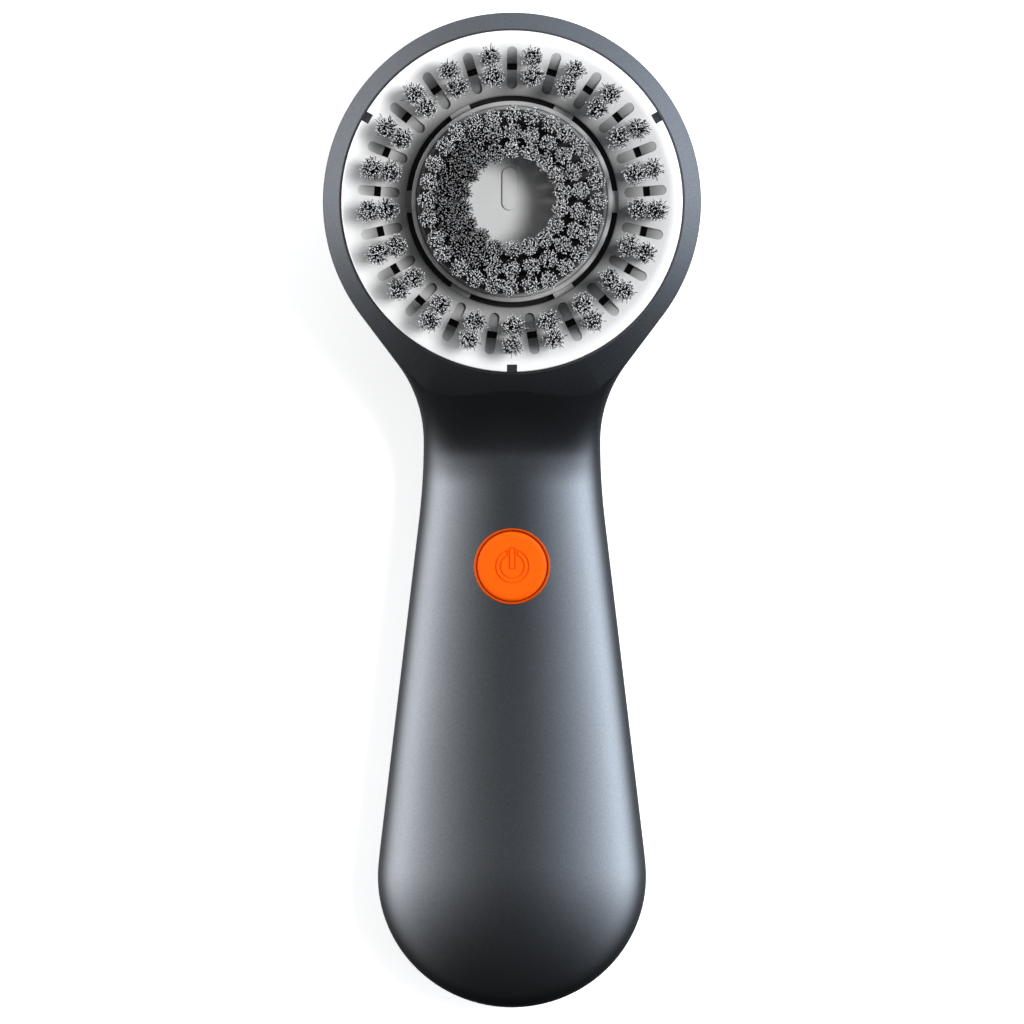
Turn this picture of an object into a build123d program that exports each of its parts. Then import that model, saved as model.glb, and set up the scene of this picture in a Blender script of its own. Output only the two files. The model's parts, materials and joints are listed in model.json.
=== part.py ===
from build123d import *
import math
import os

# Facial cleansing brush, lying on its back: +Y runs to the brush head, +Z is the way the bristles
# face, and the origin is under the middle of the body, on the surface that it lies on.
# All sizes are in millimetres. A station is a distance along the body below the head's centre.

# ---- driving dimensions: outline ----
total_length = 133.0
head_radius = 25.2
base_half_width = 18.0
base_half_depth = 12.6
base_dome_length = 17.55
neck_half_width = 11.85
neck_station = 31.8
shoulder_radius = 16.9
shoulder_angle = math.radians(37.6)
taper_radius = 90.0
taper_run = 10.6

# ---- driving dimensions: heights ----
parting_height = 11.5
neck_front_depth = 10.0
back_relief = 1.3
head_wide_height = 24.0
head_top_height = 33.0
rim_height = 30.0
rim_slope = 0.57
well_radius = 22.75
well_floor = 23.0
wall = 2.0
back_wall = 2.2

# ---- driving dimensions: brush head ----
ring_outer_radius = 22.5
ring_inner_radius = 14.3
ring_top = 30.4
ring_inner_top = 27.6
slot_count = 21
slot_inner_radius = 15.0
slot_outer_radius = 20.6
slot_width = 1.35
drain_inner_radius = 17.5
drain_outer_radius = 18.4
notch_width = 1.35
notch_depth = 0.85
notch_angles = (30, 150, 270)
key_gap = 0.12
disc_radius = 13.3
disc_top = 28.0
tuft_base_radius = 0.8
tuft_tip_radius = 1.05
tuft_depth = 1.0
tuft_top = 39.0
outer_tuft_top = 38.0
outer_tuft_radii = (19.2, 16.7)
centre_rows = {"outer_row": (11.4, 28), "middle_row": (9.1, 22), "inner_row": (6.7, 18)}

# ---- driving dimensions: button, battery, drive ----
button_y = -7.3
bezel_radius = 5.1
cap_radius = 4.6
button_travel = 0.5
cell_radius = 5.2
cell_length = 44.0
cell_height = 9.9
cell_end_y = -50.0
seat_y = -38.0
seat_radius = 7.5
seat_depth = 1.0
shaft_radius = 2.5
running_gap = 0.05
moving_gap = 0.3

# ---- worked out from the driving dimensions ----
head_y = total_length / 2 - head_radius
dome_station = total_length - head_radius - base_dome_length
tangent_station = head_radius * math.sin(shoulder_angle)
tangent_half_width = head_radius * math.cos(shoulder_angle)
arc_station = neck_station - shoulder_radius * math.sin(shoulder_angle)
arc_half_width = neck_half_width + shoulder_radius * (1 - math.cos(shoulder_angle))
taper_station = neck_station + taper_run
taper_slope = taper_run / math.sqrt(taper_radius**2 - taper_run**2)
taper_half_width = neck_half_width + taper_radius - math.sqrt(taper_radius**2 - taper_run**2)
head_axis = Axis((0, head_y, 0), (0, 0, 1))

parts = {}


def ease(value, start, end):
    """0 at start, 1 at end, level at both."""
    u = min(max((value - start) / (end - start), 0.0), 1.0)
    return u * u * (3 - 2 * u)


def half_width(station):
    """Half of the body's width, seen from the front, above the base dome."""
    if station <= tangent_station:
        return math.sqrt(head_radius**2 - station**2)
    if station <= arc_station:
        part = (station - tangent_station) / (arc_station - tangent_station)
        return tangent_half_width + (arc_half_width - tangent_half_width) * part
    if station <= neck_station:
        drop = neck_station - station
        return neck_half_width + shoulder_radius - math.sqrt(shoulder_radius**2 - drop**2)
    if station <= taper_station:
        drop = station - neck_station
        return neck_half_width + taper_radius - math.sqrt(taper_radius**2 - drop**2)
    return taper_half_width + taper_slope * (station - taper_station)


# stations where the front, the widest line and the corners of the sections change
front_fall = (34.0, 19.0)
wide_fall = (36.0, 10.0)
corner_fall = (38.0, 18.0)
relief_rise = (20.0, 33.0)
relief_fall = (42.0, 72.0)
handle_start = 34.0
handle_end = dome_station - 2.25
front_power = 1.93
handle_corner = 2.0
head_corner = 6.0
back_corner = 2.5


def cross_outline(station, inset, shrink=1.0, place=None):
    """A closed outline across the body: two superelliptic halves that share the widest line."""
    if station > handle_end:
        wide = parting_height
        width = (base_half_width - inset) * shrink
        front = (base_half_depth - inset) * shrink
        back = front
    else:
        wide = parting_height + (head_wide_height - parting_height) * ease(station, *wide_fall)
        width = half_width(station) - inset
        neck_part = max(station - handle_start, 0) / (handle_end - handle_start)
        depth = neck_front_depth + (base_half_depth - 0.1 - neck_front_depth) * neck_part**front_power
        low_top = parting_height + depth
        top = low_top + (head_top_height - low_top) * ease(station, *front_fall)
        front = top - wide - inset
        relief = back_relief * ease(station, *relief_rise) * (1 - ease(station, *relief_fall))
        back = wide - (parting_height - base_half_depth + 0.1 + relief) - inset
    place = station if place is None else place
    corner = handle_corner + (head_corner - handle_corner) * ease(station, *corner_fall)
    points = []
    for step in range(36):
        angle = math.radians(step * 10 - 90)
        power = corner if angle > 0 and angle < math.pi else back_corner
        height = front if angle > 0 and angle < math.pi else back
        c = math.cos(angle)
        s = math.sin(angle)
        reach = (abs(c) ** power + abs(s) ** power) ** (-1 / power)
        points.append(Vector(width * reach * c, head_y - place, wide + height * reach * s))
    return Face(Wire([Edge.make_spline(points, periodic=True)]))


def body_form(inset):
    """The whole body's outside, or its outside moved inwards by inset: a handle and a crown."""
    stations = [-8, -4, 0, 4, 8, 12, tangent_station, 18, 20.5, 23, 25.5, 28, 30.5, 33, 36, 40, 46, 54, 64, 76]
    sections = [cross_outline(abs(s), inset, place=s) for s in stations]
    for degrees in (-7, 0, 15, 30, 45, 58, 70, 80, 87):
        angle = math.radians(degrees)
        station = dome_station + (base_dome_length - inset) * math.sin(angle)
        sections.append(cross_outline(station, inset, math.cos(angle)))
    handle = split(loft(sections), Plane((0, head_y, 0), z_dir=(0, -1, 0)), keep=Keep.TOP)
    half = split(cross_outline(0, inset), Plane.YZ, keep=Keep.TOP)
    crown = revolve(half, head_axis, 180)
    return handle + crown


def disc(radius, low, high, x=0.0, y=0.0):
    """An upright cylinder between two heights."""
    return Pos(x, y, low) * Cylinder(radius, high - low, align=(Align.CENTER, Align.CENTER, Align.MIN))


def tube(outer, inner, low, high, x=0.0, y=0.0):
    """An upright tube between two heights."""
    return disc(outer, low, high, x, y) - disc(inner, low - 1, high + 1, x, y)


def block(x0, x1, y0, y1, z0, z1):
    """A box between two corners."""
    return Pos((x0 + x1) / 2, (y0 + y1) / 2, (z0 + z1) / 2) * Box(x1 - x0, y1 - y0, z1 - z0)


def turned(points, y=head_y):
    """A solid of revolution about an upright axis, from (radius, height) points."""
    outline = make_face(Polyline(*[(r, 0, z) for r, z in points], close=True))
    return Pos(0, y, 0) * revolve(outline, Axis.Z, 360)


def at_head(shape, radius, degrees):
    """Moves a shape made at the origin out along +X, then turns it about the head's axis."""
    return Pos(0, head_y, 0) * Rot(0, 0, degrees) * Pos(radius, 0, 0) * shape


def dish_height(radius):
    """Height of the ring's sloping face at a distance from the head's axis."""
    slope = (ring_top - 0.2 - ring_inner_top) / (dish_outer_radius - ring_inner_radius)
    return ring_inner_top + slope * (radius - ring_inner_radius)


# ---- levels inside the body ----
well_wall = 1.6
cavity_top = well_floor - well_wall
plate_low = 15.6
plate_high = 16.6
board_high = 17.6
frame_low = 6.2
frame_high = 7.8
core_low = 11.0
core_high = 17.0
bush_radius = 4.5
hub_low = 24.2
hub_high = 26.6
hub_radius = 5.0
lug_reach = 7.0
lug_width = 3.0
lug_count = 3
disc_low = 24.4
dish_outer_radius = 20.9
screw_core = 0.8
screw_head = 1.8
boss_radius = 2.2
motor_boss_radius = 12.0
motor_boss_angles = (90, 210, 330)
chassis_screw_ys = (4.0, -54.0)
motor_screw_depth = 13.0
armature_radius = 6.0
magnet_radius = 7.2
pole_radius = 7.6
bezel_top = 21.6
cap_low = 20.5
cap_top = 21.75
seal_low = 19.6
seal_high = 19.9


# ---- housing ----
outside = body_form(0)
inside = body_form(wall)

rim_cutter = turned([
    (0, well_floor),
    (well_radius, well_floor),
    (well_radius, rim_height - 0.15),
    (well_radius + 0.15, rim_height),
    (30.0, rim_height - rim_slope * (30.0 - well_radius - 0.15)),
    (30.0, 45.0),
    (0, 45.0),
])
whole = outside - rim_cutter
whole -= block(-40, 40, -80, 80, -5, 0)
whole -= disc(seat_radius, -1, seat_depth, y=seat_y)
cavity = inside - disc(well_radius + well_wall, cavity_top, 45, y=head_y)
cavity -= block(-40, 40, -80, 80, -5, back_wall)
shell = whole - cavity

slab = block(-40, 40, -80, 80, parting_height - 0.3, parting_height + 0.3)
seal_outer = body_form(0.7) & slab
seal_inner = body_form(1.3) & slab
shell_gasket = seal_outer - seal_inner
shell -= shell_gasket

upper_half = block(-40, 40, -80, 80, parting_height, 60)
lower_half = block(-40, 40, -80, 80, -5, parting_height)
front_shell = shell & upper_half
rear_shell = shell & lower_half

front_shell += disc(bush_radius + 1.7, 18.4, well_floor, y=head_y)
for angle in motor_boss_angles:
    front_shell += at_head(disc(boss_radius, frame_high, cavity_top + 0.2), motor_boss_radius, angle)
    front_shell -= at_head(disc(screw_core, frame_high - 1, motor_screw_depth), motor_boss_radius, angle)
for y in chassis_screw_ys:
    boss = disc(boss_radius, plate_high, 25, y=y) & cavity
    front_shell += boss
    front_shell -= disc(screw_core, plate_high - 1, 19.0, y=y)
key = block(
    ring_outer_radius - notch_depth + key_gap,
    well_radius + 0.5,
    key_gap - notch_width / 2,
    notch_width / 2 - key_gap,
    well_floor - 0.5,
    rim_height - 0.6,
)
for angle in notch_angles:
    front_shell += at_head(key, 0, angle)
front_shell -= disc(bush_radius, 17, well_floor + 1, y=head_y)
front_shell -= disc(bezel_radius, 17, 30, y=button_y)
parts["front_shell"] = front_shell
parts["rear_shell"] = rear_shell
parts["shell_gasket"] = shell_gasket


# ---- power button ----
parts["button_bezel"] = turned([
    (cap_radius + 0.15, 19.0),
    (bezel_radius, 19.0),
    (bezel_radius, bezel_top - 0.15),
    (bezel_radius - 0.12, bezel_top),
    (cap_radius + 0.27, bezel_top),
    (cap_radius + 0.15, bezel_top - 0.12),
], button_y)
parts["button_seal"] = tube(cap_radius + 0.15, 1.7, seal_low, seal_high, y=button_y)

cap = turned([
    (0, cap_low),
    (cap_radius, cap_low),
    (cap_radius, cap_top - 0.35),
    (cap_radius - 0.1, cap_top - 0.15),
    (cap_radius - 0.4, cap_top),
    (0, cap_top),
], button_y)
cap += disc(1.4, 19.35, cap_low, y=button_y)
symbol_arc = tube(2.15, 1.6, cap_top - 0.15, cap_top + 1, y=button_y)
symbol_arc -= block(-0.75, 0.75, button_y, button_y + 4, cap_top - 1, cap_top + 2)
symbol_bar = block(-0.27, 0.27, button_y - 0.1, button_y + 2.45, cap_top - 0.15, cap_top + 1)
parts["power_button"] = cap - symbol_arc - symbol_bar


# ---- electronics ----
plate = block(-7.2, 7.2, -56.4, 6.4, plate_low, plate_high)
plate += block(-6.4, 6.4, -12, -10, 4.2, plate_low)
plate += block(-6.4, 6.4, -46, -44, 4.2, plate_low)
cell_axis_shape = Pos(0, cell_end_y + cell_length / 2, cell_height) * Rot(90, 0, 0)
cell = cell_axis_shape * Cylinder(cell_radius, cell_length)
cell += Pos(0, cell_end_y + cell_length + 0.4, cell_height) * Rot(90, 0, 0) * Cylinder(2.0, 0.8)
tab_front = block(-2, 2, cell_end_y + cell_length + 0.8, cell_end_y + cell_length + 1.1, 8.5, plate_high)
tab_back = block(-2, 2, cell_end_y - 0.3, cell_end_y, 8.5, plate_high)
plate -= cell
plate -= tab_front
plate -= tab_back
for y in chassis_screw_ys:
    plate -= disc(screw_core, plate_low - 1, plate_high + 1, y=y)
parts["chassis"] = plate
parts["battery_cell"] = cell
parts["battery_tabs"] = Compound([tab_front, tab_back])
parts["control_board"] = block(-6.2, 6.2, -51.5, -1.0, plate_high, board_high)
switch = block(-2.2, 2.2, button_y - 2.2, button_y + 2.2, board_high, 18.4)
parts["tact_switch"] = switch + disc(1.1, 18.4, 18.75, y=button_y)
parts["board_components"] = Compound([
    block(-2.5, 2.5, -22.5, -17.5, board_high, 18.6),
    block(-4.0, 0.5, -33, -28, board_high, 18.8),
    block(2.0, 4.6, -31, -28.5, board_high, 18.3),
    block(-3.5, 3.5, -43, -39, board_high, 19.2),
])
parts["charge_coil"] = tube(7.6, 3.6, back_wall, 3.2, y=seat_y)
parts["coil_ferrite"] = disc(8.2, 3.2, 3.8, y=seat_y)
parts["seat_magnet"] = disc(3.2, back_wall, 3.2, y=seat_y)


def screw(x, y, head_top, depth):
    """A pan-head screw driven upwards: head under head_top, shank up to depth."""
    body = disc(screw_head, head_top - 1.0, head_top, x, y) + disc(screw_core, head_top, depth, x, y)
    return body - block(x - 1.2, x + 1.2, y - 0.2, y + 0.2, head_top - 2, head_top - 0.6)


parts["chassis_screws"] = Compound([screw(0, y, plate_low, 18.8) for y in chassis_screw_ys])


# ---- drive ----
motor_frame = disc(14.2, frame_low, frame_high, y=head_y) + block(-8, 8, 20.5, 33, frame_low, frame_high)
for side in (-1, 1):
    motor_frame += block(side * 6.8 - 1.2, side * 6.8 + 1.2, 20.8, 29, frame_high, core_low)
motor_frame -= disc(4.2, frame_low - 1, frame_high + 1, y=head_y)
motor_screws = []
for angle in motor_boss_angles:
    x = motor_boss_radius * math.cos(math.radians(angle))
    y = head_y + motor_boss_radius * math.sin(math.radians(angle))
    motor_frame -= disc(screw_core, frame_low - 1, frame_high + 1, x, y)
    motor_screws.append(screw(x, y, frame_low, motor_screw_depth - 0.4))
parts["motor_frame"] = motor_frame
parts["motor_screws"] = Compound(motor_screws)
parts["lower_bush"] = tube(4.2, shaft_radius + running_gap, frame_low, 8.8, y=head_y)
parts["upper_bush"] = tube(bush_radius, shaft_radius + running_gap, 18.4, well_floor, y=head_y)
parts["shaft_seal"] = tube(bush_radius + 1.7, shaft_radius + running_gap, well_floor, 23.8, y=head_y)
bar_radius = 0.9
parts["spring_anchor"] = tube(5.2, bar_radius, 4.4, frame_low, y=head_y)
parts["torsion_bar"] = disc(bar_radius, 4.4, 25.6, y=head_y)
parts["drive_shaft"] = tube(shaft_radius, 1.3, 6.5, 24.8, y=head_y)
parts["armature_yoke"] = tube(armature_radius, shaft_radius, core_low, core_high, y=head_y)

magnet_ring = tube(magnet_radius, armature_radius, core_low, core_high, y=head_y)
magnet_cut = block(-20, 20, head_y - 2.8, head_y + 20, 0, 40)
magnet_cut += block(-0.4, 0.4, head_y - 20, head_y, 0, 40)
parts["armature_magnets"] = magnet_ring - magnet_cut

core = block(-8, 8, 20.8, 36, core_low, core_high)
core -= block(-5.6, -2, 23.6, 40, 0, 40)
core -= block(2, 5.6, 23.6, 40, 0, 40)
core -= disc(pole_radius, 0, 40, y=head_y)
parts["stator_core"] = core
coil = block(-5.3, 5.3, 24, 31, 8.0, 20.0) - block(-2.05, 2.05, 20, 33, core_low - 0.05, core_high + 0.05)
parts["stator_coil"] = fillet(coil.edges().filter_by(Axis.Y).group_by(lambda e: abs(e.center().X))[-1], 1.5)

leads = []
for x in (-3.2, 3.2):
    route = FilletPolyline((x, 24, 18.6), (x, 12, 18.6), (x, -1, 17.12), radius=90)
    leads.append(sweep(Plane(route @ 0, z_dir=route % 0) * Circle(0.45), path=route))
parts["motor_leads"] = Compound(leads)

hub = disc(hub_radius, hub_low, hub_high, y=head_y)
pocket = disc(hub_radius + moving_gap, disc_low - 1, hub_high + moving_gap, y=head_y)
lug = block(0, lug_reach, -lug_width / 2, lug_width / 2, hub_low + 0.4, hub_high)
lug_space = block(
    0,
    lug_reach + moving_gap,
    -lug_width / 2 - moving_gap,
    lug_width / 2 + moving_gap,
    disc_low - 1,
    hub_high + moving_gap,
)
for number in range(lug_count):
    angle = 90 + number * 360 / lug_count
    hub += at_head(lug, 0, angle)
    pocket += at_head(lug_space, 0, angle)
hub -= disc(shaft_radius, hub_low - 1, 24.8, y=head_y)
hub -= disc(bar_radius + running_gap, 24, 25.9, y=head_y)
parts["drive_hub"] = hub


# ---- brush head ----
ring = turned([
    (ring_inner_radius, 26.6),
    (ring_inner_radius, ring_inner_top),
    (dish_outer_radius, ring_top - 0.2),
    (dish_outer_radius + 0.4, ring_top),
    (ring_outer_radius - 0.3, ring_top),
    (ring_outer_radius, ring_top - 0.3),
    (ring_outer_radius, 24.1),
    (21.2, 24.1),
    (21.2, 27.6),
    (17.4, 26.2),
    (17.4, 24.1),
    (15.2, 24.1),
    (15.2, 26.6),
])
for angle in notch_angles:
    ring -= at_head(block(-notch_depth, 2, -notch_width / 2, notch_width / 2, 20, 40), ring_outer_radius, angle)


def tuft(radius, degrees, low, high):
    """A bundle of bristles, a little wider at its tip, standing beside the head's axis."""
    cone = Cone(tuft_base_radius, tuft_tip_radius, high - low)
    return at_head(Pos(0, 0, (low + high) / 2) * cone, radius, degrees)


def drain_slot(degrees):
    """The hollow of one radial slot: an outer ramp down to a drain hole, then an inner ramp."""
    outline = make_face(Polyline(
        (slot_outer_radius, 0, dish_height(slot_outer_radius) + 1),
        (slot_outer_radius, 0, dish_height(slot_outer_radius) - 0.1),
        (drain_outer_radius, 0, dish_height(drain_outer_radius) - 1.2),
        (drain_outer_radius, 0, 25),
        (drain_inner_radius, 0, 25),
        (drain_inner_radius, 0, dish_height(drain_inner_radius) - 0.3),
        (slot_inner_radius, 0, dish_height(slot_inner_radius) - 0.9),
        (slot_inner_radius, 0, dish_height(slot_outer_radius) + 1),
        close=True,
    ))
    hollow = extrude(outline, slot_width / 2, both=True)
    ends = extrude(SlotOverall(slot_outer_radius - slot_inner_radius, slot_width), 60)
    hollow &= Pos((slot_inner_radius + slot_outer_radius) / 2, 0, 0) * ends
    return at_head(hollow, 0, degrees)


pitch = 360 / slot_count
slots = [drain_slot(90 + number * pitch) for number in range(slot_count)]
outer_tufts = []
for radius in outer_tuft_radii:
    low = dish_height(radius) - tuft_depth
    for number in range(slot_count):
        outer_tufts.append(tuft(radius, 90 + (number + 0.5) * pitch, low, outer_tuft_top))
parts["outer_tufts"] = Compound(outer_tufts)
parts["brush_ring"] = ring - slots - outer_tufts
parts["bayonet_ring"] = tube(21.0, 17.6, 23.4, 25.6, y=head_y)
parts["disc_retainer"] = tube(17.2, 9.5, 23.4, 24.1, y=head_y)

centre = turned([
    (0, disc_low),
    (disc_radius, disc_low),
    (disc_radius, disc_top + 0.3),
    (disc_radius - 0.2, disc_top + 0.5),
    (disc_radius - 0.6, disc_top + 0.5),
    (disc_radius - 0.8, disc_top),
    (0, disc_top),
])
for angle in range(0, 360, 60):
    tab = tube(14.9, disc_radius - 0.5, 25.2, 26.2) & block(10, 20, -1.45, 1.45, 20, 30)
    centre += at_head(tab, 0, angle)
centre -= pocket
mark = extrude(SlotOverall(5.8, 2.1, rotation=90), 0.45)
centre += Pos(-0.3, head_y + 1.7, disc_top) * mark
centre_tufts = []
for name, (radius, count) in centre_rows.items():
    row = [tuft(radius, 90 + number * 360 / count, disc_top - 0.8, tuft_top) for number in range(count)]
    parts[name + "_tufts"] = Compound(row)
    centre_tufts += row
parts["centre_disc"] = centre - centre_tufts


os.makedirs("parts", exist_ok=True)
for name, shape in parts.items():
    export_step(shape if len(shape.solids()) > 1 else shape.solid(), f"parts/{name}.step")
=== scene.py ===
import bpy
import bmesh
import json
import math
import random
import numpy as np
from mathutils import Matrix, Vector


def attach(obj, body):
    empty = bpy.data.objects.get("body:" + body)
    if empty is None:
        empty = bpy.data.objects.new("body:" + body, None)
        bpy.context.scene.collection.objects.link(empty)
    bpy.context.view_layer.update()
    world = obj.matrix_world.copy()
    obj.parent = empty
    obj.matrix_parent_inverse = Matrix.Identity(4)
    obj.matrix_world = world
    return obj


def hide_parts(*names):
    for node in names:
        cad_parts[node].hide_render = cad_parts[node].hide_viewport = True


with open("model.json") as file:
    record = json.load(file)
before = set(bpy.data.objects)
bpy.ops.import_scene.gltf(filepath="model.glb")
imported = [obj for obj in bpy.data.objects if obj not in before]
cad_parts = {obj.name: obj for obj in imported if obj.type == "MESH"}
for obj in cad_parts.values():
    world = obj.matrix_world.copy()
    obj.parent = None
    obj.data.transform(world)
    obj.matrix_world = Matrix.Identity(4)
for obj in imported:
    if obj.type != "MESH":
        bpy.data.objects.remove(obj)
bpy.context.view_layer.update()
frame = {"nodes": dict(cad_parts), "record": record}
print("frame loaded")

mm = 0.001
perMetre = 1000.0
grainDepth = 0.00002
headY = 41.3  # the brush head's axis, in millimetres up the body
buttonY = -7.3  # the button's axis
seatY = -38.0  # the charging seat's axis


def freshStart():
    if bpy.context.mode != "OBJECT":
        bpy.ops.object.mode_set(mode="OBJECT")
    bpy.ops.object.select_all(action="DESELECT")


def focus(piece):
    freshStart()
    piece.select_set(True)
    bpy.context.view_layer.objects.active = piece


def settle(name):
    # places go into the mesh, so the object itself sits at the origin
    piece = bpy.context.object
    if bpy.context.mode != "OBJECT":
        bpy.ops.object.mode_set(mode="OBJECT")
    bpy.ops.object.transform_apply(location=True, rotation=True, scale=True)
    piece.name = name
    return piece


def modify(piece, kind, **settings):
    focus(piece)
    modifier = piece.modifiers.new(kind, kind)
    for key, value in settings.items():
        setattr(modifier, key, value)
    bpy.ops.object.modifier_apply(modifier=modifier.name)


def combine(piece, tool, operation="DIFFERENCE", solver="MANIFOLD"):
    modify(piece, "BOOLEAN", operation=operation, object=tool, solver=solver)
    bpy.data.objects.remove(tool, do_unlink=True)


def soften(piece, width, segments=3, angle=30):
    modify(piece, "BEVEL", width=width * mm, segments=segments, limit_method="ANGLE",
           angle_limit=math.radians(angle), harden_normals=False)


def smoothOver(piece, angle=35):
    focus(piece)
    bpy.ops.object.shade_smooth_by_angle(angle=math.radians(angle))


def duplicate(piece, name):
    focus(piece)
    bpy.ops.object.duplicate()
    twin = bpy.context.object
    twin.name = name
    return twin


def joinAll(pieces, name):
    focus(pieces[0])
    for piece in pieces:
        piece.select_set(True)
    bpy.ops.object.join()
    joined = bpy.context.object
    joined.name = name
    return joined


def drum(name, radius, low, high, x=0.0, y=headY, vertices=96):
    freshStart()
    bpy.ops.mesh.primitive_cylinder_add(vertices=vertices, radius=radius * mm, depth=(high - low) * mm,
                                        location=(x * mm, y * mm, (low + high) / 2 * mm))
    return settle(name)


def brick(name, low, high):
    freshStart()
    centre = [(a + b) / 2 * mm for a, b in zip(low, high)]
    size = [(b - a) * mm for a, b in zip(low, high)]
    bpy.ops.mesh.primitive_cube_add(size=1, location=centre, scale=size)
    return settle(name)


def slab(name, low, high):
    # wider and longer than the whole body
    return brick(name, (-40, -80, low), (40, 80, high))


def traceProfile(points):
    # a plane collapsed to one vertex, then drawn out point by point
    freshStart()
    bpy.ops.mesh.primitive_plane_add(size=0.001)
    bpy.ops.object.mode_set(mode="EDIT")
    bpy.ops.mesh.select_all(action="SELECT")
    bpy.ops.mesh.merge(type="CENTER")
    first = Vector(points[0]) * mm
    bpy.ops.transform.translate(value=first)
    for start, end in zip(points, points[1:]):
        step = (Vector(end) - Vector(start)) * mm
        bpy.ops.mesh.extrude_region_move(TRANSFORM_OT_translate={"value": step})


def turnProfile(name, outline, y=headY, steps=252):
    # outline holds (radius, height) pairs, closed, turned about an upright axis
    points = [(r, y, z) for r, z in outline]
    traceProfile(points + [points[0]])
    bpy.ops.mesh.select_all(action="SELECT")
    bpy.ops.mesh.remove_doubles(threshold=0.000001)
    bpy.ops.mesh.select_all(action="SELECT")
    bpy.ops.mesh.spin(steps=steps, angle=2 * math.pi, center=(0, y * mm, 0), axis=(0, 0, 1))
    bpy.ops.mesh.select_all(action="SELECT")
    bpy.ops.mesh.remove_doubles(threshold=0.000002)
    bpy.ops.mesh.dissolve_degenerate(threshold=0.000001)
    bpy.ops.mesh.select_all(action="SELECT")
    bpy.ops.mesh.normals_make_consistent(inside=False)
    return settle(name)


def pushProfile(name, outline, width):
    # outline holds (x, height) pairs in the plane y = 0, pushed out to both sides
    traceProfile([(x, -width / 2, z) for x, z in outline] + [(outline[0][0], -width / 2, outline[0][1])])
    bpy.ops.mesh.select_all(action="SELECT")
    bpy.ops.mesh.remove_doubles(threshold=0.000001)
    bpy.ops.mesh.select_all(action="SELECT")
    bpy.ops.mesh.edge_face_add()
    bpy.ops.mesh.extrude_region_move(TRANSFORM_OT_translate={"value": (0, width * mm, 0)})
    bpy.ops.mesh.select_all(action="SELECT")
    bpy.ops.mesh.normals_make_consistent(inside=False)
    return settle(name)


def turnAboutHead(piece, degrees):
    angle = math.radians(degrees)
    place = Vector((0, headY * mm, 0))
    cosine, sine = math.cos(angle), math.sin(angle)
    for vertex in piece.data.vertices:
        x, y = vertex.co.x, vertex.co.y
        vertex.co.x = x * cosine - y * sine + place.x
        vertex.co.y = x * sine + y * cosine + place.y


class Value:
    # a number socket that can be used in plain arithmetic
    def __init__(self, tree, socket):
        self.tree = tree
        self.socket = socket

    def mix(self, operation, other, swap=False):
        node = self.tree.nodes.new("ShaderNodeMath")
        node.operation = operation
        first, second = (1, 0) if swap else (0, 1)
        self.tree.links.new(self.socket, node.inputs[first])
        if isinstance(other, Value):
            self.tree.links.new(other.socket, node.inputs[second])
        else:
            node.inputs[second].default_value = other
        return Value(self.tree, node.outputs[0])

    def clamp(self, low=0.0, high=1.0):
        return self.mix("MINIMUM", high).mix("MAXIMUM", low)

    def root(self):
        return self.mix("POWER", 0.5)

    def __add__(self, other):
        return self.mix("ADD", other)

    def __radd__(self, other):
        return self.mix("ADD", other, True)

    def __sub__(self, other):
        return self.mix("SUBTRACT", other)

    def __rsub__(self, other):
        return self.mix("SUBTRACT", other, True)

    def __mul__(self, other):
        return self.mix("MULTIPLY", other)

    def __rmul__(self, other):
        return self.mix("MULTIPLY", other, True)


class Finish:
    # one material: add() makes any node, shade() sets the shader's own sockets
    def __init__(self, name, **uniform):
        self.material = bpy.data.materials.new(name)
        self.material.use_nodes = True
        self.tree = self.material.node_tree
        self.shader = self.tree.nodes["Principled BSDF"]
        self.shade(**uniform)

    def shade(self, **sockets):
        for key, value in sockets.items():
            self.feed(self.shader.inputs[key.replace("_", " ")], value)

    def feed(self, socket, value):
        if isinstance(value, Value):
            self.tree.links.new(value.socket, socket)
        elif isinstance(value, bpy.types.NodeSocket):
            self.tree.links.new(value, socket)
        else:
            socket.default_value = value

    def add(self, kind, settings=None, **sockets):
        node = self.tree.nodes.new(kind)
        for key, value in (settings or {}).items():
            setattr(node, key, value)
        for key, value in sockets.items():
            self.feed(node.inputs[key], value)
        return node

    def place(self):
        return self.add("ShaderNodeTexCoord").outputs["Object"]

    def parts(self):
        # the piece's own x, y and z in metres
        split = self.add("ShaderNodeSeparateXYZ", Vector=self.place())
        return [Value(self.tree, socket) for socket in split.outputs]

    def noise(self, scale, detail=2.0):
        node = self.add("ShaderNodeTexNoise", Vector=self.place(), Scale=scale, Detail=detail, Roughness=0.5)
        return Value(self.tree, node.outputs[0])

    def blendColours(self, factor, first, second):
        node = self.add("ShaderNodeMix", {"data_type": "RGBA"})
        self.feed(node.inputs["Factor"], factor)
        for socket, value in ((node.inputs[6], first), (node.inputs[7], second)):
            self.feed(socket, value if isinstance(value, bpy.types.NodeSocket) else (*value, 1))
        return node.outputs[2]

    def bump(self, height, strength, distance):
        node = self.add("ShaderNodeBump", Strength=strength, Distance=distance, Height=height)
        self.shade(Normal=node.outputs[0])


def grainedFinish(name, dark, light, roughness, metallic=0.0, grain=1500.0, bump=0.2, **uniform):
    # a moulded or plain surface: faint cloudy colour, fine grain in gloss and relief
    finish = Finish(name, Metallic=metallic, **uniform)
    cloud = finish.noise(grain / 12, 3.0)
    fine = finish.noise(grain, 2.0)
    finish.shade(Base_Color=finish.blendColours(cloud, dark, light), Roughness=roughness - 0.06 + 0.12 * fine)
    finish.bump(fine, bump, grainDepth)
    return finish.material


graphite = {
    "dark": (0.076, 0.082, 0.091),
    "light": (0.154, 0.164, 0.180),
    "metallic": 1.0,
    "roughness": 0.34,
    "flakeScale": 5200.0,
    "grainScale": 2600.0,
    "driftScale": 60.0,
    "relief": 0.22,
}


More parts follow.
